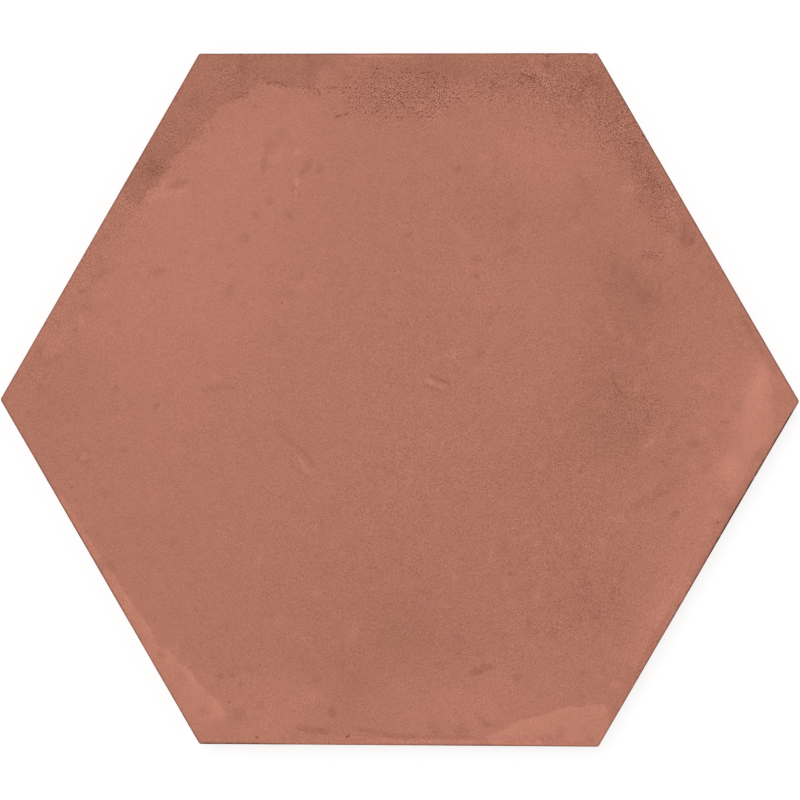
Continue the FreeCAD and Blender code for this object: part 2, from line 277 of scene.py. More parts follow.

# Scratches, ridges, lips and scuffs. Some of them are painted light and shade of their relief, as noted
# below
STROKES = [Stroke(*row) for row in (
    # Hair-thin drags in the upper left field
    (0.25, 15, [(-26.8, 58.4), (-27.1, 53.9)], 0.6),
    (0.3, -10, [(-16.8, 74.2), (-13, 75.5)]),
    # Broken dark rim of the soot at the upper left
    (0.2, -26, [
        (-32.9, 83.7), (-31.1, 82.9), (-29.5, 82.1), (-26.1, 81.8), (-23.5, 81.6), (-21.4, 81.3),
    ], 0.55),
    (0.2, -26, [(-21.4, 81.6), (-20.9, 80.8), (-20.6, 79.7)], 0.4),
    (0.2, -22, [(-20.3, 81.6), (-18, 81.7), (-15.1, 82.4)], 0.5),
    (0.2, -18, [(-43.4, 78.9), (-41.8, 79.7), (-40.3, 80.5)], 0.6),
    (0.2, -20, [(-17, 74), (-13, 75.2)], 0.55),
    # Scratch under the upper edge, with the ridge it threw up painted as a pale highlight
    (0.25, -24, [(31.9, 85.8), (34, 85), (36.1, 84.2)]),
    (0.2, -20, [(35, 85.5), (37.1, 84.8)]),
    (0.3, 9, [(30.6, 86.8), (32.9, 86)]),
    (0.35, 6, [(40, 84), (42.4, 82)]),
    # Scuff in the middle: its relief is painted as a lit pale stroke between shaded dark ones
    (0.5, 9, [(6.6, 5.2), (9.5, 4.2), (12, 2.9)]),
    (0.45, -10, [(7.7, 6.6), (10.9, 5.3), (13.8, 4)]),
    (0.45, -8, [(5.6, 4.4), (8.8, 2.9), (11.7, 1.9)], 0.2),
    # Dark hooked line in the cloud on the right, and the rim of a drip above it
    (0.35, -10, [(56, 7.9), (56.3, 4.7), (58.2, 2.1), (59.7, 0)]),
    (0.3, -4, ring(75.7, 42.5, 1.8), 0.2),
    # Light line inside the upper edge
    (0.3, 12, [(-12.5, 90.2), (-7.2, 90.3), (0.1, 90.1), (4.3, 90)]),
    # Dark and light lines along the lower edge, and a nick in them. The dark lines that follow the low lip
    # are painted shade along its step
    (0.3, -8, [(-27.4, -86.3), (-23.5, -88), (-14.3, -88), (-3.8, -88.6), (3.3, -89.5)], 0.2),
    (0.3, -7, [(18.5, -89), (30.3, -88.8), (42.1, -89)], 0.2),
    (0.8, -6, [(32, -88.7), (39, -88.4), (45, -88.9)], 0.3),
    (0.25, -10, [(26.4, -89.6), (42.1, -89.8), (50, -89.9)], 0.5),
    (0.25, -46, [(-14, -89), (-13, -88.4)]),
    (0.35, 7, [(-5.2, -89.7), (8, -89.9), (21.1, -90)]),
    (0.6, -8, [(-27.5, -86.2), (-24, -86.8), (-19.5, -87.3)], 0.1),
    (0.55, -8, [(-12.5, -86.4), (-7.5, -87.3), (-3, -88.1), (0, -88.5), (7, -88.8)], 0.1),
    (0.5, -6, [(6, -88.9), (14, -88.9), (21, -88.6)], 0.1),
    # Scuffs and drag marks in the lower half
    (0.6, -7, [(-32.5, -8), (-29.5, -10.5), (-27, -12.3), (-24.6, -14.3), (-23, -16.5), (-22.8, -18.2)]),
    (0.6, 7, [(-27.5, -14.5), (-25.6, -16.6), (-24, -18.8), (-22.3, -20)]),
    (0.4, -5, [(-28.8, -16.8), (-26.5, -18.8), (-25.3, -20)]),
    (0.6, -5, [(-10, -17), (-5, -17.4), (-1, -19.5), (2, -21.5)], 0.2),
    (0.6, 4, [(-29, -62), (-26, -61.5), (-23.5, -65), (-21.5, -69.5)], 0.2),
    (0.8, 4, [(64.5, -12.5), (67, -10), (69.5, -7.5), (72, -4.5)], 0.2),
    (1.4, -5.5, [(60.8, -28.5), (65, -26), (68.5, -23.8), (71.5, -22.3), (75, -21.2)], 0.3),
    (0.5, -6, ring(-83, -15, 1.8), 0.1),
    # Dull strip inside the lower right edge
    (0.9, -5, [(55.5, -84), (63, -71), (72, -55.5)], 0.25),
    # Painted highlight along the lip of the pale wedge at the lower left
    (0.25, 5, [(-74.6, -48.6), (-71.2, -53.3), (-68.1, -57), (-64.9, -61.2), (-63.4, -64.3)], 0.3),
    (0.25, 5, [(-62, -65.6), (-58.6, -68.2), (-55, -71.7)], 0.3),
)]

# Streaks where the skin fired to a warmer hue, or to a cooler one
WARM_STREAKS = [Stroke(*row) for row in (
    (0.4, 0.25, [(-52.3, -89.5), (-36.6, -89.6), (-15.6, -89.5), (5.4, -89.8), (21.1, -89.9)]),
    (0.4, 0.3, [(-48.4, 90), (-36.6, 89.8), (-26.1, 89.7), (-14.3, 89.6)]),
    (0.4, 0.3, [(4, 89.2), (20, 89.2), (34, 88.8)]),
    (0.5, 0.2, [(-74, -50), (-66, -63), (-60, -73)]),
    (0.35, -0.9, [(18.5, -89), (30.3, -88.8), (42.1, -89), (49, -88.9)], 0.1),
)]

# Pinholes, and one painted shadow under the chip at the right-hand end of the upper edge
SPECKS = [Spot(*row) for row in (
    (-30.8, 25.5, 0.25, 0.25, -30), (-55.8, -12.4, 0.3, 0.3, -12), (-86.2, -23.2, 0.3, 0.3, -22),
    (-85, -26.6, 0.3, 0.3, -18), (-44.8, -79.8, 0.22, 0.2, -48), (83.7, -31.8, 0.25, 0.25, -34),
    (60.7, 11.6, 0.25, 0.25, -26), (50, 9, 0.3, 0.3, -10), (-67.2, -33.7, 0.3, 0.3, -10),
    (29.2, -45.5, 0.6, 0.6, -12), (16.2, -26, 0.35, 0.35, -10), (-37.9, 77.1, 0.5, 0.5, -12),
    (74.2, -38.7, 0.35, 0.35, -8), (71.3, -47.4, 0.6, 0.6, -8), (47.6, -18.4, 0.4, 0.4, -10),
    (-37.4, -89.1, 0.4, 0.35, -30), (39.2, 90.2, 0.5, 0.3, -30), (20.8, 3.1, 0.25, 0.25, -24),
    # painted shadow under that chip, not a pinhole
    (50.6, 90.1, 0.5, 0.3, -30),
)]

# Pits that broke through the skin, scattered round these middles
PITTED = [Pitted(*row) for row in (
    # The worn patch under the upper edge
    (0.8, 80, 10.5, 4.4, -52, 210), (6.7, 83.2, 6, 2.3, -58, 56), (-6.4, 79.2, 5.5, 2.8, -54, 46),
    (12.4, 77.6, 3.6, 1.6, -54, 26), (-5.6, 86, 1.1, 2.1, -44, 16), (-13.5, 84.5, 1, 0.8, -40, 6),
    (-17.7, 81.8, 3.1, 0.5, -38, 12), (21.1, 79.5, 3.1, 1, -38, 10), (-15, 74.2, 2, 0.4, -34, 6, 8),
    # Upper edge and its two ends
    (31.6, 82.6, 7.9, 3.9, -36, 46), (46, 74.7, 3.1, 2.6, -34, 14), (52.6, 78.7, 5.2, 2.6, -34, 26, -60),
    (-31.4, 82.9, 3.7, 0.8, -38, 14, -10), (-23, 81.3, 3.1, 0.8, -38, 12),
    (-41.8, 79.7, 1.6, 0.8, -34, 6, 25),
    # Upper right edge
    (59.2, 68.2, 5.2, 2.1, -36, 22, -60), (63.1, 61.6, 4.2, 2.1, -38, 22, -60),
    (67, 51.1, 4.7, 2.4, -40, 34, -60), (69.7, 45.1, 2.1, 0.8, -40, 10, -30), (67, 38.3, 2.4, 0.8, -40, 10),
    # Upper left edge
    (-63.4, 60.8, 2.4, 1.6, -36, 14), (-58.9, 66.9, 3.7, 3.1, -32, 12),
    # Stray ones all over
    (0, -5, 55, 48, -17, 60),
)]
PIT_SIZES = (0.09, 0.15)  # least and greatest half width
PIT_STRETCH = 2.1  # how much longer than wide a pit may be
PIT_TONES = (0.6, 1.3)  # of the zone's tone
PIT_TURN = 14  # spread of their turns, in degrees
PIT_CROWDING = 0.6  # power that draws the pits to a zone's middle
ZONE_REACH = 1.5  # of a pitted zone, in its half sizes
PIT_SPACING = 0.65  # least way from one pit to the next
PIT_CLEARANCE = 0.3  # least way from a pit to the outermost loop of the face
POINT_CLEARANCE = 0.1  # the same for the points of the mesh round it
PIT_SLOPE = 0.002  # depth for each step of darkness
PIT_RINGS = ((0, 1), (0.6, 5), (1.4, 7))  # share of a pit's half sizes, and points of the mesh on it
ROW_PITCH = 1.3  # between the faint rows that the pits keep to
ROW_PULL = 0.55  # share of the way that a pit is drawn to its row

# Roughened skin: its grain is up to several times as strong as on plain clay
WORN = [Worn(*row) for row in (
    (30, -25, 70, 60, 0.29), (-80, -5, 25, 20, 0.13), (30, 50, 40, 20, 0.12), (1, 80.4, 13.5, 6, 1.15),
    (25.3, 82, 8, 5, 0.65), (-26, 83, 10, 4, 0.4), (-42, 84, 10, 6, 0.6), (-56.3, 72.4, 14, 6, 0.55, 60),
    (-63, 61, 5, 3, 0.7), (-70.8, 51.3, 9, 4, 0.45, 60), (-81.3, 35.5, 9, 3.5, 0.5, 60),
    (-89.2, 21, 6, 4, 0.4, 60), (-98.4, 6.6, 4, 3, 0.4), (42, 82, 14, 7, 0.85), (57, 73, 12, 7, 0.9, -60),
    (67, 56.2, 12, 4.2, 0.85, -60), (67.4, 38.2, 2.5, 1, 0.5), (61, -3, 14, 12, 0.5), (42, -13, 8, 6, 0.35),
    (53, -53, 12, 10, 0.35), (37, -58, 14, 8, 0.35), (42.4, 71, 12, 5, 0.3),
)]

# Skin that stayed smoother than plain clay
CALM = [Worn(*row) for row in (
    (93, -8, 6, 16, 1.0, -15), (42, -86, 15, 6, 0.8), (-57, -74, 18, 6, 0.8, -53), (-40, 50, 22, 20, 0.3),
)]

# Painted shade along the face's rounded edge. It is lighter or darker on some stretches, and darkest down
# the lower right side, which faces away from the key light
RIM_SHADE = -28
RIM_SHADES = [RimShade(*row) for row in (
    (0, 0, 1, -6), (3, 0, 1, -7), (4, 0, 1, 6), (4, 0, 0.22, -30), (4, 0, 0.15, -10, 0.8), (4, 0.55, 1, -8),
    (4, 0.68, 0.78, -22), (5, 0, 0.35, 2), (5, 0.35, 0.55, -14), (5, 0.55, 0.97, -66), (5, 0.44, 0.9, -5, 1),
    (5, 0.48, 0.86, -5, 2.4), (3, 0.3, 0.6, -10), (1, 0.1, 0.14, -20),
)]

# Chips out of the face's edge
FLAKES = [Flake(*row) for row in (
    (1, 0.016, 1.3, 0.55), (1, 0.129, 0.8, 0.28), (1, 0.884, 1.1, 0.34), (1, 0.46, 0.8, 0.26),
    (2, 0.31, 0.9, 0.30), (3, 0.72, 1.0, 0.28), (4, 0.245, 0.9, 0.32), (4, 0.57, 1.1, 0.28),
    (5, 0.61, 1.0, 0.28), (5, 0.78, 1.3, 0.34), (0, 0.38, 0.9, 0.28), (0, 0.66, 0.8, 0.26),
)]

# How the marks are drawn. Fades and reaches count in a mark's half sizes or half widths, and ends in
# shares of a line's length. Lengths are in millimetres.
TIDE_FRONT = (-0.6, 1)  # where a film sets in and is full, in its softness
TIDE_ENDS = (0, 0.05)
LIP_HEIGHT = 0.015  # of the lip along the film's edge
LIP_HALF_WIDTH = 0.35  # at least
SMUDGE_FADE = (1.35, 0.65)
STROKE_FADE = (1.5, 0.5)
STROKE_ENDS = (-0.01, 0.12)
STROKE_REACH = 1.6
GAP_SOFTNESS = 0.3
GROOVE_DEPTH = 0.02  # the height of a ridge, too
PIT_FADE = (1.4, 0.6)
RIM_SHADE_FADE = (1.4, 0.4)
RIM_SHADE_END = 0.01
CHIP_FADE = 0.1  # how far a chip moves a point until all its skin is gone
RELIEF_FADE = (0.5, 2.0)  # ways in from the wall between which the relief sets in

# How far round the marks the mesh is finer: in half sizes or half widths, and for tides in millimetres
MOTTLE_NEAR = 1.8
TIDE_NEAR = 2.4
TIDE_FRONT_NEAR = 0.8
SMUDGE_NEAR = 1.7
SMUDGE_RIM_NEAR = 0.5
STROKE_NEAR = 3
HAIR_LINE = 0.3  # half width under which a stroke needs the finest mesh

# Noises: layers, each with its share, the size of its squares in millimetres and its seed
SEED = 7
PIT_SEED = 40
NOISE_SQUARES = 256  # after which the noise repeats
WALL_NOISE = ((0.3, 8, 31), (0.2, 2.2, 32))
WALL_MIDDLE = 0.5  # share of the straying that the noise plays about
FACE_NOISE = ((0.02, 24, 21), (0.008, 5, 22))  # the face's unevenness, in millimetres
TIDE_NOISE = ((0.7, 2.5, 11), (0.5, 0.9, 12))
SMUDGE_NOISE = ((0.2, 0.8, 13),)
STROKE_NOISE = ((1, 0.7, 17),)
RIM_SHADE_NOISE = ((0.3, 2.0, 14), (0.2, 0.7, 15))

# Grain and grit of plain skin, and how worn and calm skin change them
WORN_GRAIN = 0.6
CALM_GRAIN = -0.35
PLAIN_GRIT = 18
WORN_GRIT = 170
CALM_GRIT = -0.8

# Plain clay as it is seen on the face, the bare body of the walls and the back, and the wash that kept the
# back from sticking in the kiln, as 8-bit sRGB
CLAY = (176, 114, 94.5)
BODY = (181, 124, 100)
WASH = (214, 190, 172)
TONE_SLOPES = (1.25, 0.93, 0.88)  # how much of a broad tone each channel takes
WARM_SHIFT = (-4, 1, -10)  # how a full warm hue changes each channel
ALL_ALIKE = (1, 1, 1)
DARKEST = (0.05, 0.05, 0.05)  # least that a channel holds, of 1

# The sRGB curve
SRGB_OFFSET = 0.055
SRGB_POWER = 2.4
SRGB_FOOT = 0.04045  # end of its straight foot
SRGB_FOOT_SLOPE = 12.92

# Noises of the material: cells in a metre, detail and stretch
FINEST = (4600, 0.0, (1.25, 0.8, 1))
FINE = (2600, 1.0, (1.3, 0.78, 1))
DRAG = (1400, 2.0, (1, 1, 0.05))  # the die's drag lines down the walls
MEDIUM = (900, 2.0)
SKIN_END = (500, 3.0)
MOTTLED = (420, 2.0)
HUES = (330, 2.0)
BRUSHED = (260, 3.0, (0.1, 1, 1))
PATCHY = (220, 2.0)
COARSE = (140, 3.0)
SKIN_FADE = (-0.35, -0.15)  # heights over the foot of the arris between which the skin ends
LAND_FADE = (0.01, 0.10)  # heights between which the wash ends
WASH_COVER = 0.62  # where the wash lies thickest
BUMP_DISTANCE = 0.00002  # metres
SPECULAR = 0.25

# Camera and light
LENS = 85.0  # millimetres, as the sensor's width
SENSOR = 36.0
PICTURE_WIDTH = 800
PIXELS_PER_MM = 3.8155  # on the face
MIDDLE_IN_PICTURE = (399.5, 399.9)
FLOOR_REACH = 5.0  # metres from the middle to the floor's corners
FLOOR_DROP = 0.02  # millimetres that the floor lies under the tile's back
FLOOR_LAP = 0.8  # millimetres that it reaches in under the tile's back
FLOOR_PAPER = 0.27  # grey of the paper that the camera sees and that takes the shadow
FLOOR_GLOW = 0.76  # light that whitens it
FLOOR_BOUNCE = 0.7  # grey of the floor as it lights the tile
SKY = 0.65  # the dome's light on the tile, while the dome itself is seen white
KEY_STRENGTH = 1.17
KEY_SPREAD = 30  # degrees
KEY_FROM = (-0.22, 0.32, 1.0)  # way to the key light

# Map of the surface for baking: the face, the back beside the six side strips, and the gaps between them
MAP_NAME = "OFBake"
FACE_SHARE = 0.82  # of the map's width
BACK_SHARE = 0.31
MAP_GAP = 0.005


def seeded(offset):
    """Random numbers that are the same each run."""
    return np.random.default_rng(SEED + offset)


def smoothstep(value, start, end):
    share = np.clip((value - start) / (end - start), 0, 1)
    return share * share * (3 - 2 * share)


def value_noise(x, y, cell, offset):
    """Smooth noise from -1 to 1 on squares of the given size."""
    table = seeded(offset).uniform(-1, 1, (NOISE_SQUARES, NOISE_SQUARES))
    column, row = np.floor(x / cell).astype(int), np.floor(y / cell).astype(int)
    right, up = smoothstep(x / cell - column, 0, 1), smoothstep(y / cell - row, 0, 1)

    def along(line):
        here, after = (table[spot % NOISE_SQUARES, line % NOISE_SQUARES] for spot in (column, column + 1))
        return here * (1 - right) + after * right

    return along(row) * (1 - up) + along(row + 1) * up


def layered(layers, x, y):
    """Sum of noises, each given by its share, the size of its squares and its seed."""
    return sum(share * value_noise(x, y, cell, offset) for share, cell, offset in layers)


def spread_along(place, values):
    """One value, or several that are spread evenly along a line, read at places from 0 to 1."""
    return np.interp(place, np.linspace(0, 1, np.size(values)), np.atleast_1d(values))


def outline(inset, corner_radius):
    """Points round the tile at an inset from its upright walls, anticlockwise, corner by corner."""
    to_arc_centre = (HALF_FLATS - inset - corner_radius) * FLAT_TO_CORNER
    arcs = []
    for corner in range(SIDES):
        middle = corner * STEP_ANGLE
        angles = middle + np.linspace(-STEP_ANGLE / 2, STEP_ANGLE / 2, CORNER_STEPS + 1)
        arcs.append(to_arc_centre * direction(middle) + corner_radius * direction(angles))
    shares = np.linspace(0, 1, RUN_STEPS + 1)[1:-1, None]
    points = []
    for corner, arc in enumerate(arcs):
        next_start = arcs[(corner + 1) % SIDES][0]
        points += [arc, arc[-1] + shares * (next_start - arc[-1])]
    return np.vstack(points)


def loop(inset, corner_radius, z):
    flat = outline(inset, corner_radius)
    return np.column_stack([flat, np.full(len(flat), z)])


def outline_loops():
    """The loops from the face's margin, round its arris and down the wall and bevel to the back's edge."""
    inner_radius = CORNER_RADIUS - ARRIS_RADIUS
    loops = [loop(margin, inner_radius, THICKNESS) for margin in FACE_MARGINS]
    for step in range(ARRIS_STEPS + 1):
        angle = step / ARRIS_STEPS * math.pi / 2
        inset = ARRIS_RADIUS * (1 - math.sin(angle))
        drop = ARRIS_RADIUS * (1 - math.cos(angle))
        loops.append(loop(inset, CORNER_RADIUS - inset, THICKNESS - drop))
    wall_top = THICKNESS - ARRIS_RADIUS
    for share in WALL_LOOPS:
        loops.append(loop(0, CORNER_RADIUS, wall_top + share * (BEVEL_HEIGHT - wall_top)))
    for share in BEVEL_LOOPS:
        loops.append(loop(share * BEVEL_WIDTH, CORNER_RADIUS, (1 - share) * BEVEL_HEIGHT))
    return loops


def side_direction(side):
    """Unit vector from the middle straight out through a side."""
    return direction((side + 0.5) * STEP_ANGLE)


def inside_by(x, y):
    """How far points lie inside the upright walls."""
    reach = np.full(np.shape(x), -np.inf)
    for side in range(SIDES):
        out = side_direction(side)
        reach = np.maximum(reach, x * out[0] + y * out[1])
    return HALF_FLATS - reach


def side_of(x, y):
    """The side that each point lies nearest to, and its place along that side, from 0 to 1."""
    turn = np.arctan2(y, x) % (2 * math.pi)
    side = np.floor(turn / STEP_ANGLE).astype(int) % SIDES
    middle = (side + 0.5) * STEP_ANGLE
    return side, (y * np.cos(middle) - x * np.sin(middle)) / (2 * HALF_SIDE) + 0.5


def drawn_in(flat):
    """Points moved inwards: at a corner as far as its two sides draw in, at the middle not at all."""
    moves = []
    for corner in range(SIDES):
        before, after = side_direction(corner - 1), side_direction(corner)
        amounts = [-DRAWN_IN[corner - 1][1], -DRAWN_IN[corner][0]]
        moves.append(np.linalg.solve(np.array([before, after]), amounts))
    moved = flat.copy()
    sides, _ = side_of(*flat.T)
    corner_distance = HALF_FLATS * FLAT_TO_CORNER
    for side in range(SIDES):
        here = sides == side
        corners = corner_distance * direction(np.array([side, side + 1]) * STEP_ANGLE)
        shares = np.linalg.solve(corners.T, flat[here].T)
        moved[here] += shares.T @ np.array([moves[side], moves[(side + 1) % SIDES]])
    return moved


def strayed(flat):
    """Points near the edge moved inwards by the small wander of the walls."""
    x, y = flat.T
    wander = WALL_MIDDLE + layered(WALL_NOISE, x, y)
    amount = EDGE_WANDER * wander * smoothstep(inside_by(x, y), *WANDER_FADE)
    away = flat / np.maximum(np.hypot(x, y), 1)[:, None]
    return flat - amount[:, None] * away


def flaked(spots):
    """The points pushed clear of the round hollows that the flakes left, and how far each one moved."""
    moved = spots.copy()
    for flake in FLAKES:
        out = side_direction(flake.side)
        along = np.array([-out[1], out[0]])
        edge = HALF_FLATS * out + (2 * flake.place - 1) * HALF_SIDE * along
        up_and_out = np.array([*out, 1]) / math.sqrt(2)
        centre = np.array([*edge, THICKNESS]) + (flake.radius - flake.bite) * up_and_out
        off = moved - centre
        distance = np.linalg.norm(off, axis=1)
        inside = distance < flake.radius
        moved[inside] = centre + off[inside] * (flake.radius / distance[inside])[:, None]
    return moved, np.linalg.norm(moved - spots, axis=1)


def lattice(level):
    """Points of a triangular lattice that a coarser level lacks, inside the face's margin."""
    pitch = BASE_PITCH / 2 ** level
    reach = int(LATTICE_REACH * HALF_FLATS * FLAT_TO_CORNER / pitch)
    i, j = np.meshgrid(np.arange(-2 * reach, 2 * reach + 1), np.arange(-reach, reach + 1))
    i, j = i.ravel(), j.ravel()
    x, y = (i + j / 2) * pitch, j * pitch * math.sin(STEP_ANGLE)
    kept = inside_by(x, y) > FACE_MARGINS[0] + pitch / 2
    if level:
        kept &= (i % 2 + j % 2) > 0
    return x[kept], y[kept]


def within(mark, x, y):
    """Distance of points from a mark's middle, as a share of its half sizes."""
    turn = math.radians(mark.turn)
    along = (x - mark.x) * math.cos(turn) + (y - mark.y) * math.sin(turn)
    across = (y - mark.y) * math.cos(turn) - (x - mark.x) * math.sin(turn)
    return np.hypot(along / mark.half_length, across / mark.half_width)


def on_mark(mark, share, angle):
    """Points in some directions from a mark's middle, at a share of its half sizes."""
    turn = math.radians(mark.turn)
    along, across = share * mark.half_length * np.cos(angle), share * mark.half_width * np.sin(angle)
    x = mark.x + along * math.cos(turn) - across * math.sin(turn)
    y = mark.y + along * math.sin(turn) + across * math.cos(turn)
    return x, y


def way_along(points):
    """How far along a line each of its points lies."""
    return np.concatenate([[0], np.cumsum(np.linalg.norm(np.diff(points, axis=0), axis=1))])


def from_line(line, x, y):
    """Signed distance of points from a line, positive on its left, and their places on it from 0 to 1."""
    corners = np.array(line, float)
    starts = way_along(corners)
    nearest, signed, place = np.full(len(x), np.inf), np.zeros(len(x)), np.zeros(len(x))
    for a, b, start, end in zip(corners, corners[1:], starts, starts[1:]):
        length = end - start
        way = (b - a) / length
        along = np.clip((x - a[0]) * way[0] + (y - a[1]) * way[1], 0, length)
        off_x, off_y = x - a[0] - along * way[0], y - a[1] - along * way[1]
        distance = np.hypot(off_x, off_y)
        closer = distance < nearest
        nearest[closer] = distance[closer]
        side = np.where(way[0] * off_y - way[1] * off_x >= 0, 1, -1)
        signed[closer] = (side * distance)[closer]
        place[closer] = ((start + along) / starts[-1])[closer]
    return signed, place


def near_line(line, reach, x, y):
    """Numbers of the points within reach of a line, their distances from it and their places along it."""
    corners = np.array(line)
    lowest, highest = corners.min(0) - reach, corners.max(0) + reach
    boxed = np.nonzero((x > lowest[0]) & (x < highest[0]) & (y > lowest[1]) & (y < highest[1]))[0]
    distance, place = from_line(line, x[boxed], y[boxed])
    kept = np.abs(distance) < reach
    return boxed[kept], np.abs(distance[kept]), place[kept]


def near_spots(spots, reach, x, y):
    """Each spot, the numbers of the points near it and their distances as a share of its half sizes."""
    order = np.argsort(x)
    sorted_x = x[order]
    for spot in spots:
        margin = reach * max(spot.half_length, spot.half_width)
        first, last = np.searchsorted(sorted_x, (spot.x - margin, spot.x + margin))
        near = order[first:last]
        share = within(spot, x[near], y[near])
        yield spot, near[share < reach], share[share < reach]


def scattered_pits():
    """The pits of the pitted zones, each in its own place, size and darkness."""
    random = seeded(PIT_SEED)
    pits, taken = [], np.full((1, 2), np.inf)
    for zone in PITTED:
        for _ in range(zone.count):
            share = ZONE_REACH * random.uniform() ** PIT_CROWDING
            x, y = on_mark(zone, share, random.uniform(0, 2 * math.pi))
            y += ROW_PULL * (round(y / ROW_PITCH) * ROW_PITCH - y)
            half_width = random.uniform(*PIT_SIZES)
            half_length = half_width * random.uniform(1, PIT_STRETCH)
            tone = zone.tone * random.uniform(*PIT_TONES)
            pit = Spot(x, y, half_length, half_width, tone, random.normal(0, PIT_TURN))
            clear = np.hypot(*(taken - (x, y)).T).min() > PIT_SPACING
            if clear and inside_by(x, y) > FACE_MARGINS[0] + PIT_CLEARANCE:
                pits.append(pit)
                taken = np.vstack([taken, (x, y)])
    return pits


def pit_points(pits):
    """Points of the mesh in and round each pit, as two rows of places."""
    points = []
    for pit in pits:
        for share, count in PIT_RINGS:
            angles = share + np.arange(count) * 2 * math.pi / count
            points.append(on_mark(pit, share, angles))
    x, y = np.hstack(points)
    kept = inside_by(x, y) > FACE_MARGINS[0] + POINT_CLEARANCE
    return x[kept], y[kept]


def strongest(marks, x, y):
    """The strongest of some worn zones at each point."""
    strength = np.zeros(len(x))
    for mark in marks:
        strength = np.maximum(strength, mark.strength * 0.5 ** (within(mark, x, y) ** 2))
    return strength


def faded_ends(place, start, end):
    """How strong a line is at places from 0 to 1 along it, as both its ends fade."""
    return smoothstep(place, start, end) * smoothstep(1 - place, start, end)


def add_tide(tide, x, y, film_and_rim_shade, warmth, lift):
    """Adds a film with one defined edge that fades away from it, and the low lip along that edge."""
    distance, place = from_line(tide.line, x, y)
    depth = distance + tide.ragged * layered(TIDE_NOISE, x, y)
    softness = spread_along(place, tide.softness)
    ends = faded_ends(place, *TIDE_ENDS)
    cover = smoothstep(depth / softness, *TIDE_FRONT) * 0.5 ** (np.maximum(depth, 0) / tide.fade) * ends
    film_and_rim_shade += spread_along(place, tide.tones) * cover
    warmth += tide.warmth * cover
    lift += LIP_HEIGHT * ends * np.exp(-(depth / np.maximum(softness, LIP_HALF_WIDTH)) ** 2)


def add_stroke(stroke, x, y, target, lift=None):
    """Adds a thin line to the target, and its groove or ridge to the lift."""
    near, distance, place = near_line(stroke.line, STROKE_REACH * stroke.half_width, x, y)
    threshold = 2 * stroke.gaps - 1
    noise = layered(STROKE_NOISE, x[near], y[near])
    broken = smoothstep(noise, threshold - GAP_SOFTNESS, threshold + GAP_SOFTNESS)
    cover = faded_ends(place, *STROKE_ENDS) * broken * smoothstep(distance / stroke.half_width, *STROKE_FADE)
    target[near] += stroke.tone * cover
    if lift is not None:
        lift[near] += GROOVE_DEPTH * np.sign(stroke.tone) * cover


def rim_shade(x, y):
    """Lightness of the painted shade along the face's rounded edge."""
    side, place = side_of(x, y)
    depth = inside_by(x, y)
    strength = RIM_SHADE * smoothstep(depth / RIM_SHADE_WIDTH, *RIM_SHADE_FADE)
    for rim in RIM_SHADES:
        stretch = smoothstep(place, rim.start - RIM_SHADE_END, rim.start + RIM_SHADE_END)
        stretch = stretch * smoothstep(place, rim.end + RIM_SHADE_END, rim.end - RIM_SHADE_END)
        stretch = stretch * smoothstep(depth / rim.width, *RIM_SHADE_FADE)
        strength += np.where(side == rim.side, rim.tone * stretch, 0)
    return strength * (1 + layered(RIM_SHADE_NOISE, x, y))


def face_marks(pits, x, y):
    """What the material and the relief of the face need at each point, by name."""
    film_and_rim_shade, scratch_and_painted_light, warmth, lift = (np.zeros(len(x)) for _ in range(4))
    for cloud in CLOUDS + MOTTLES:
        film_and_rim_shade += cloud.tone * 0.5 ** (within(cloud, x, y) ** 2)
    for tide in TIDES:
        add_tide(tide, x, y, film_and_rim_shade, warmth, lift)
    ragged = layered(SMUDGE_NOISE, x, y)
    for smudge in SMUDGES:
        film_and_rim_shade += smudge.tone * smoothstep(within(smudge, x, y) + ragged, *SMUDGE_FADE)
    for stroke in STROKES:
        add_stroke(stroke, x, y, scratch_and_painted_light, lift)
    for streak in WARM_STREAKS:
        add_stroke(streak, x, y, warmth)
    for pit, near, share in near_spots(SPECKS + pits, PIT_FADE[0], x, y):
        tone = pit.tone * smoothstep(share, *PIT_FADE)
        scratch_and_painted_light[near] = np.minimum(scratch_and_painted_light[near], tone)
        lift[near] = np.minimum(lift[near], PIT_SLOPE * tone)
    lift += layered(FACE_NOISE, x, y)
    worn, calm = strongest(WORN, x, y), strongest(CALM, x, y)
    return {
        # the tones of the films and clouds, with the painted shade along the face's edge added
        "film_and_rim_shade": film_and_rim_shade + rim_shade(x, y),
        # scratches and pits, with the painted highlights and shade of some strokes and one painted shadow
        # speck
        "scratch_and_painted_light": scratch_and_painted_light,
        "warmth": warmth,
        "grain": (1 + WORN_GRAIN * worn) * (1 + CALM_GRAIN * calm),
        "grit": (PLAIN_GRIT + WORN_GRIT * worn) * (1 + CALM_GRIT * calm),
        "lift": lift * smoothstep(inside_by(x, y), *RELIEF_FADE),
    }


def level_needed(x, y):
    """Which level of the lattice each spot needs, so that its marks stay crisp."""
    level = np.zeros(len(x), int)

    def at_least(where, wanted):
        level[where] = np.maximum(level[where], wanted)

    for _, near, _ in near_spots(MOTTLES, MOTTLE_NEAR, x, y):
        at_least(near, 1)
    for tide in TIDES:
        close, distance, _ = near_line(tide.line, TIDE_NEAR, x, y)
        at_least(close, 1)
        at_least(close[distance < TIDE_FRONT_NEAR + tide.ragged], 2)
    for smudge in SMUDGES:
        reach = within(smudge, x, y)
        at_least(reach < SMUDGE_NEAR, 1)
        at_least(np.abs(reach - 1) < SMUDGE_RIM_NEAR, 2)
    for stroke in STROKES + WARM_STREAKS:
        close, distance, _ = near_line(stroke.line, STROKE_NEAR * stroke.half_width, x, y)
        at_least(close, 1)
        finest = FINEST_LEVEL if stroke.half_width < HAIR_LINE else 2
        at_least(close[distance < STROKE_REACH * stroke.half_width], finest)
    return level


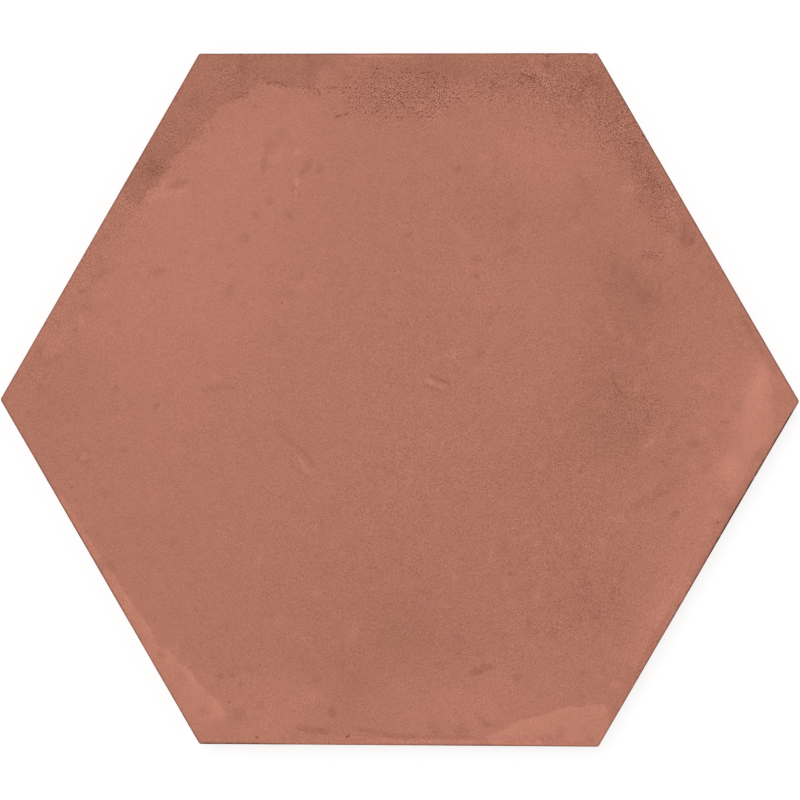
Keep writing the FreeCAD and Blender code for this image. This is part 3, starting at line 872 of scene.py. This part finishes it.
def face_points(pits):
    """Points inside the face, denser where its marks are fine."""
    points = [pit_points(SPECKS + pits)]
    for level in range(FINEST_LEVEL + 1):
        x, y = lattice(level)
        kept = level_needed(x, y) >= level
        points.append((x[kept], y[kept]))
    return np.hstack(points).T


def triangulated(ring_points, holes, points):
    """Triangles that fill a ring round some holes and use the points, as rows of indices.

    The indices count the ring's points first, then the holes' and then the points.
    """
    flat = np.vstack([ring_points] + holes + [points])
    borders, start = [], 0
    for border in [ring_points] + holes:
        borders.append(list(range(start, start + len(border))))
        start += len(border)
    result = delaunay_2d_cdt([Vector(p) for p in flat], [], borders, FILL_INSIDE, MERGE_DISTANCE)
    spots, triangles, sources, owners = result[0], result[2], result[3], result[5]
    if len(spots) != len(flat):
        raise RuntimeError(f"the triangulation changed {len(flat)} points into {len(spots)}")
    first = np.array([source[0] for source in sources])
    kept = [t for t, owner in zip(triangles, owners) if not any(face > 0 for face in owner)]
    return first[np.array(kept)]


def bands(loops):
    """Quads between loops that follow each other, band by band."""
    count = len(loops[0])
    here = np.arange(count)
    after = (here + 1) % count
    quads = []
    for number in range(len(loops) - 1):
        upper, lower = number * count, (number + 1) * count
        quads.append(np.column_stack([upper + here, lower + here, lower + after, upper + after]))
    return np.vstack(quads)


def cell_centres():
    """Middles of the keying cells on the back, in rows that fill a hexagon like the tile's."""
    row_height = CELL_PITCH * math.cos(STEP_ANGLE / 2)
    cell_corner = (CELL_PITCH - RIB_LAND) / 2 * FLAT_TO_CORNER
    rings = math.floor((HALF_FLATS - BEVEL_WIDTH - BACK_RIM - cell_corner) / row_height)
    centres = []
    for row in range(-rings, rings + 1):
        cells = 2 * rings + 1 - abs(row)
        first_x = -(cells - 1) * CELL_PITCH / 2
        centres += [(first_x + cell * CELL_PITCH, row * row_height) for cell in range(cells)]
    return centres


def cell_hexagon(across_flats):
    """Corners of a keying cell, anticlockwise, with one on the Y axis."""
    return across_flats / 2 * FLAT_TO_CORNER * direction(STEP_ANGLE / 2 + np.arange(SIDES) * STEP_ANGLE)


def flat_map(flat, share, left, bottom, mirrored):
    """Places on the map of points that lie flat, in a hexagon that takes a share of the map's width."""
    radius = HALF_FLATS * FLAT_TO_CORNER
    across = -flat[:, 0] if mirrored else flat[:, 0]
    scale = share / (2 * radius)
    return np.column_stack([left + (across + radius) * scale, bottom + (flat[:, 1] + HALF_FLATS) * scale])


def side_map(loops):
    """Places on the map of the quads between these loops: one strip for each side, corner to corner."""
    count = len(loops[0])
    per_side = count // SIDES
    first = CORNER_STEPS // 2
    scale = FACE_SHARE / (2 * HALF_FLATS * FLAT_TO_CORNER)
    wall_foot = loops[-len(BEVEL_LOOPS) - 1]
    along = way_along(wall_foot[first:first + per_side + 1]) * scale
    down = way_along(np.array([rows[first + per_side // 2] for rows in loops])) * scale
    number = (np.arange(count) - first) % count
    strip, step = number // per_side, number % per_side
    left = BACK_SHARE + 4 * MAP_GAP
    top = 1 - MAP_GAP - strip * (down[-1] + MAP_GAP)
    places = []
    for upper, lower in zip(down, down[1:]):
        start, end = left + along[step], left + along[step + 1]
        corners = [(start, top - upper), (start, top - lower), (end, top - lower), (end, top - upper)]
        places.append(np.stack([np.column_stack(corner) for corner in corners], axis=1))
    return np.concatenate(places).reshape(-1, 2)


def make_mesh(pits):
    """The tile as one closed mesh in millimetres: its points, its faces and their corners on the map."""
    loops = outline_loops()
    count = len(loops[0])
    inner = face_points(pits)
    top = triangulated(loops[0][:, :2], [], inner)
    top_spots = np.column_stack([inner, np.full(len(inner), THICKNESS)])

    mouth_width = CELL_PITCH - RIB_LAND
    mouth, floor = cell_hexagon(mouth_width), cell_hexagon(mouth_width - 2 * CELL_WALL_SPREAD)
    centres = cell_centres()
    mouths = [mouth + centre for centre in centres]
    back = triangulated(loops[-1][:, :2], mouths, np.zeros((0, 2)))
    mouth_spots = [np.column_stack([m, np.zeros(SIDES)]) for m in mouths]
    floor_spots = [np.column_stack([floor + c, np.full(SIDES, CELL_DEPTH)]) for c in centres]

    spots = np.vstack(loops + [top_spots] + mouth_spots + floor_spots)
    after_loops = count * len(loops)
    mouths_start = after_loops + len(top_spots)
    floors_start = mouths_start + SIDES * len(centres)

    top = np.where(top < count, top, top - count + after_loops)
    quads = bands(loops)
    last_loop = after_loops - count
    back = np.where(back < count, back + last_loop, back - count + mouths_start)[:, ::-1]
    cells = []
    for cell in range(len(centres)):
        m, f = mouths_start + cell * SIDES, floors_start + cell * SIDES
        for side in range(SIDES):
            after = (side + 1) % SIDES
            cells.append([m + side, m + after, f + after, f + side])
        cells.append([f + side for side in range(SIDES)][::-1])

    on_face_bands = len(FACE_MARGINS)
    from_above = flat_map(spots[:, :2], FACE_SHARE, MAP_GAP, MAP_GAP, False)
    back_bottom = 1 - MAP_GAP - BACK_SHARE * math.cos(STEP_ANGLE / 2)
    from_below = flat_map(spots[:, :2], BACK_SHARE, MAP_GAP, back_bottom, True)
    places = [
        from_above[top.ravel()],
        from_above[quads[:on_face_bands * count].ravel()],
        side_map(loops[on_face_bands:]),
        from_below[back.ravel()],
        from_below[np.concatenate(cells)],
    ]
    return spots, top.tolist() + quads.tolist() + back.tolist() + cells, np.vstack(places)


def in_scene(name, data):
    """A new object with this data, in the scene."""
    thing = bpy.data.objects.new(name, data)
    bpy.context.scene.collection.objects.link(thing)
    return thing


def make_tile():
    """The tile as a Blender object, with the marks of its face held on its vertices."""
    pits = scattered_pits()
    spots, faces, places = make_mesh(pits)
    x, y, z = spots.T
    on_face = z > THICKNESS - ARRIS_RADIUS - LEVEL_TOLERANCE
    marks = face_marks(pits, x, y)
    lift = marks.pop("lift") * on_face
    attributes = {name: np.where(on_face, values, 0) for name, values in marks.items()}
    spots[:, 2] += lift - lift.max() * smoothstep(inside_by(x, y), *RELIEF_FADE) * on_face
    spots, chipped = flaked(spots)
    attributes["bare"] = smoothstep(chipped, 0, CHIP_FADE)
    spots[:, :2] = drawn_in(strayed(spots[:, :2]))
    mesh = bpy.data.meshes.new("fired_tile")
    mesh.from_pydata((spots * MM).tolist(), [], [[int(i) for i in face] for face in faces])
    mesh.update()
    for name, values in attributes.items():
        mesh.attributes.new(name, "FLOAT", "POINT").data.foreach_set("value", values.astype(np.float32))
    mesh.uv_layers.new(name=MAP_NAME).data.foreach_set("uv", places.ravel().astype(np.float32))
    mesh.polygons.foreach_set("use_smooth", np.ones(len(mesh.polygons), bool))
    mesh.set_sharp_from_angle(angle=math.radians(SHARP_ANGLE))
    return in_scene("fired_tile", mesh)


def linear(colour):
    """An 8-bit sRGB colour as Blender's linear one, with alpha."""
    shares = np.array(colour) / 255
    curved = ((shares + SRGB_OFFSET) / (1 + SRGB_OFFSET)) ** SRGB_POWER
    return (*np.where(shares <= SRGB_FOOT, shares / SRGB_FOOT_SLOPE, curved), 1.0)


def grey(level):
    return (level, level, level, 1)


class Nodes:
    """Short calls for building the nodes of a material or of the world."""

    def __init__(self, owner):
        owner.use_nodes = True
        self.tree = owner.node_tree
        self.tree.nodes.clear()

    def add(self, kind, **inputs):
        """A node of this kind. Each input is a value, or another node's output."""
        node = self.tree.nodes.new(kind)
        for name, value in inputs.items():
            self.set(node.inputs[name.replace("_", " ")], value)
        return node

    def set(self, socket, value):
        if isinstance(value, bpy.types.NodeSocket):
            self.tree.links.new(value, socket)
        else:
            socket.default_value = value

    def joined(self, kind, *values, operation=None):
        """Output of a node whose inputs take these values in their order."""
        node = self.add(kind)
        if operation:
            node.operation = operation
        for socket, value in zip(node.inputs, values):
            self.set(socket, value)
        return node.outputs[0]

    def math(self, operation, *values):
        return self.joined("ShaderNodeMath", *values, operation=operation)

    def total(self, *terms):
        """Sum of pairs of a value and its weight."""
        result = None
        for value, weight in terms:
            if result is None:
                result = self.math("MULTIPLY", value, weight)
            else:
                result = self.math("MULTIPLY_ADD", value, weight, result)
        return result

    def vector(self, operation, *values):
        return self.joined("ShaderNodeVectorMath", *values, operation=operation)

    def attribute(self, name):
        node = self.add("ShaderNodeAttribute")
        node.attribute_name = name
        return node.outputs["Fac"]

    def where(self):
        return self.add("ShaderNodeTexCoord").outputs["Object"]

    def height(self):
        """Height above the bedding plane, in millimetres."""
        return self.math("DIVIDE", self.add("ShaderNodeSeparateXYZ", Vector=self.where()).outputs["Z"], MM)

    def noise(self, scale, detail=2.0, stretch=(1, 1, 1)):
        """Noise about 0, with scale cells in a metre."""
        place = self.vector("MULTIPLY", self.where(), stretch)
        node = self.add("ShaderNodeTexNoise", Scale=scale, Detail=detail, Vector=place)
        return self.math("SUBTRACT", node.outputs["Fac"], 0.5)

    def step(self, value, start, end):
        """0 below start and 1 above end, smoothly."""
        node = self.add("ShaderNodeMapRange", Value=value, From_Min=start, From_Max=end)
        node.interpolation_type = "SMOOTHSTEP"
        return node.outputs[0]

    def mix(self, share, first, second):
        node = self.add("ShaderNodeMix")
        node.data_type = "RGBA"
        colour_inputs = [socket for socket in node.inputs if socket.type == "RGBA"]
        self.set(node.inputs[0], share)
        self.set(colour_inputs[0], first)
        self.set(colour_inputs[1], second)
        return next(socket for socket in node.outputs if socket.type == "RGBA")

    def toned(self, colour, *terms):
        """An 8-bit colour changed by pairs of a value and how that value changes each channel."""
        shifted = tuple(np.array(colour) / 255)
        for value, slopes in terms:
            in_all = self.vector("MULTIPLY", value, ALL_ALIKE)
            shifted = self.vector("MULTIPLY_ADD", in_all, tuple(np.array(slopes) / 255), shifted)
        encoded = self.vector("MAXIMUM", shifted, DARKEST)
        whole = 1 + SRGB_OFFSET
        raised = self.vector("MULTIPLY_ADD", encoded, (1 / whole,) * 3, (SRGB_OFFSET / whole,) * 3)
        return self.add("ShaderNodeGamma", Color=raised, Gamma=SRGB_POWER).outputs[0]


def face_colour(nodes, fine, medium, mottle, coarse):
    """Colour of the fired skin with its painted edge shade and the painted light and shade of some strokes,
    and the fine grain in it. The weights of the noises are 8-bit steps.
    """
    film_and_rim_shade, scratch_and_painted_light, warmth, grain_share, grit_share = (
        nodes.attribute(name) for name in ("film_and_rim_shade", "scratch_and_painted_light", "warmth", "grain", "grit")
    )
    patchy = nodes.math("MULTIPLY_ADD", nodes.noise(*PATCHY), 1.6, 1.0)
    smooth_grain = nodes.math("MULTIPLY", nodes.total((fine, 34), (medium, 6)), grain_share)
    grit = nodes.math("MULTIPLY", nodes.noise(*FINEST), grit_share)
    even_grain = nodes.math("MULTIPLY", nodes.math("ADD", smooth_grain, grit), patchy)
    grain = nodes.total((even_grain, 0.8), (nodes.math("MINIMUM", even_grain, 0.0), 0.4), (1.0, 0.7))
    hue = nodes.total((nodes.noise(*HUES), 0.15), (warmth, 1.0))
    colour = nodes.toned(
        CLAY,
        (nodes.total((film_and_rim_shade, 1.0), (mottle, 7.5), (coarse, 5)), TONE_SLOPES),
        (nodes.total((scratch_and_painted_light, 1.0), (grain, 1.0)), ALL_ALIKE),
        (hue, WARM_SHIFT),
    )
    return colour, grain


def body_colour(nodes, height, fine, medium, mottle, coarse):
    """Colour of the bare body, with the kiln wash on the back, and the die's drag lines down the walls.

    The weights of the noises are 8-bit steps.
    """
    drag = nodes.noise(*DRAG)
    body = nodes.toned(
        BODY,
        (nodes.total((mottle, 14), (coarse, 16), (drag, 16)), TONE_SLOPES),
        (nodes.total((fine, 50), (medium, 20)), ALL_ALIKE),
    )
    dusty = nodes.total((nodes.noise(*BRUSHED), 2.4), (coarse, 0.9), (medium, 0.7), (0.30, 1.0))
    on_land = nodes.math("SUBTRACT", 1.0, nodes.step(height, *LAND_FADE))
    cover = nodes.math("MULTIPLY", nodes.step(dusty, 0.0, 0.7), nodes.math("MULTIPLY", on_land, WASH_COVER))
    return nodes.mix(cover, body, linear(WASH)), drag


def clay_material():
    """Matt fired clay: a coloured skin on the face and its arris, and the bare body elsewhere."""
    material = bpy.data.materials.new("fired_clay")
    nodes = Nodes(material)
    height = nodes.height()
    noises = [nodes.noise(*noise) for noise in (FINE, MEDIUM, MOTTLED, COARSE)]
    medium = noises[1]
    skin_colour, grain = face_colour(nodes, *noises)
    bare_colour, drag = body_colour(nodes, height, *noises)
    ragged_height = nodes.total((nodes.noise(*SKIN_END), 0.9), (height, 1.0))
    covered = nodes.step(ragged_height, *(THICKNESS - ARRIS_RADIUS + way for way in SKIN_FADE))
    skin = nodes.math("MULTIPLY", covered, nodes.math("SUBTRACT", 1.0, nodes.attribute("bare")))
    unskinned = nodes.math("SUBTRACT", 1.0, skin)
    relief = nodes.total((grain, 0.05), (medium, 2), (nodes.math("MULTIPLY", drag, unskinned), 5))
    bump = nodes.add("ShaderNodeBump", Strength=0.5, Distance=BUMP_DISTANCE, Height=relief)
    shader = nodes.add(
        "ShaderNodeBsdfPrincipled",
        Base_Color=nodes.mix(skin, bare_colour, skin_colour),
        Roughness=nodes.total((medium, 0.25), (skin, -0.12), (0.82, 1.0)),
        Specular_IOR_Level=SPECULAR,
        Normal=bump.outputs[0],
    )
    nodes.add("ShaderNodeOutputMaterial", Surface=shader.outputs[0])
    return material


def make_floor():
    """Plain white floor, open under the tile so that the back shows from below."""
    opening = (HALF_FLATS - BEVEL_WIDTH - FLOOR_LAP) * MM * FLAT_TO_CORNER
    corners = direction(np.arange(SIDES) * STEP_ANGLE)
    flat = np.vstack([opening * corners, FLOOR_REACH * corners])
    points = [(x, y, -FLOOR_DROP * MM) for x, y in flat]
    panels = [(c, SIDES + c, SIDES + (c + 1) % SIDES, (c + 1) % SIDES) for c in range(SIDES)]
    mesh = bpy.data.meshes.new("floor")
    mesh.from_pydata(points, [], panels)
    floor = in_scene("floor", mesh)
    material = bpy.data.materials.new("floor_paper")
    nodes = Nodes(material)
    paper = nodes.add("ShaderNodeBsdfDiffuse", Color=grey(FLOOR_PAPER)).outputs[0]
    glow = nodes.add("ShaderNodeEmission", Color=grey(1), Strength=FLOOR_GLOW).outputs[0]
    bounced = nodes.add("ShaderNodeBsdfDiffuse", Color=grey(FLOOR_BOUNCE)).outputs[0]
    seen = nodes.add("ShaderNodeLightPath").outputs["Is Camera Ray"]
    both = nodes.joined("ShaderNodeAddShader", paper, glow)
    mixed = nodes.joined("ShaderNodeMixShader", seen, bounced, both)
    nodes.add("ShaderNodeOutputMaterial", Surface=mixed)
    mesh.materials.append(material)


def make_light():
    """Even white dome with a soft key from the upper left."""
    world = bpy.data.worlds.new("studio")
    bpy.context.scene.world = world
    nodes = Nodes(world)
    path = nodes.add("ShaderNodeLightPath").outputs
    mirrored = nodes.math("MAXIMUM", path["Is Glossy Ray"], path["Is Transmission Ray"])
    seen = nodes.math("MAXIMUM", path["Is Camera Ray"], mirrored)
    strength = nodes.math("MULTIPLY_ADD", seen, 1 - SKY, SKY)
    background = nodes.add("ShaderNodeBackground", Color=grey(1), Strength=strength)
    nodes.add("ShaderNodeOutputWorld", Surface=background.outputs[0])
    lamp = bpy.data.lights.new("key", "SUN")
    lamp.energy = KEY_STRENGTH
    lamp.angle = math.radians(KEY_SPREAD)
    key = in_scene("key", lamp)
    key.rotation_euler = Vector(KEY_FROM).to_track_quat("Z", "Y").to_euler()


def make_camera():
    """Camera that looks straight down on the face, as the photo does."""
    data = bpy.data.cameras.new("camera")
    data.lens = LENS
    data.sensor_width = SENSOR
    distance = LENS / SENSOR * PICTURE_WIDTH / PIXELS_PER_MM
    camera = in_scene("camera", data)
    half = PICTURE_WIDTH / 2
    across = (half - MIDDLE_IN_PICTURE[0]) / PIXELS_PER_MM
    up = (MIDDLE_IN_PICTURE[1] - half) / PIXELS_PER_MM
    camera.location = Vector((across, up, THICKNESS + distance)) * MM
    bpy.context.scene.camera = camera


tile = make_tile()
tile.data.materials.append(clay_material())
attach(tile, "root")
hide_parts(NODE)
make_floor()
make_light()
make_camera()
bpy.context.scene.view_settings.view_transform = "Standard"
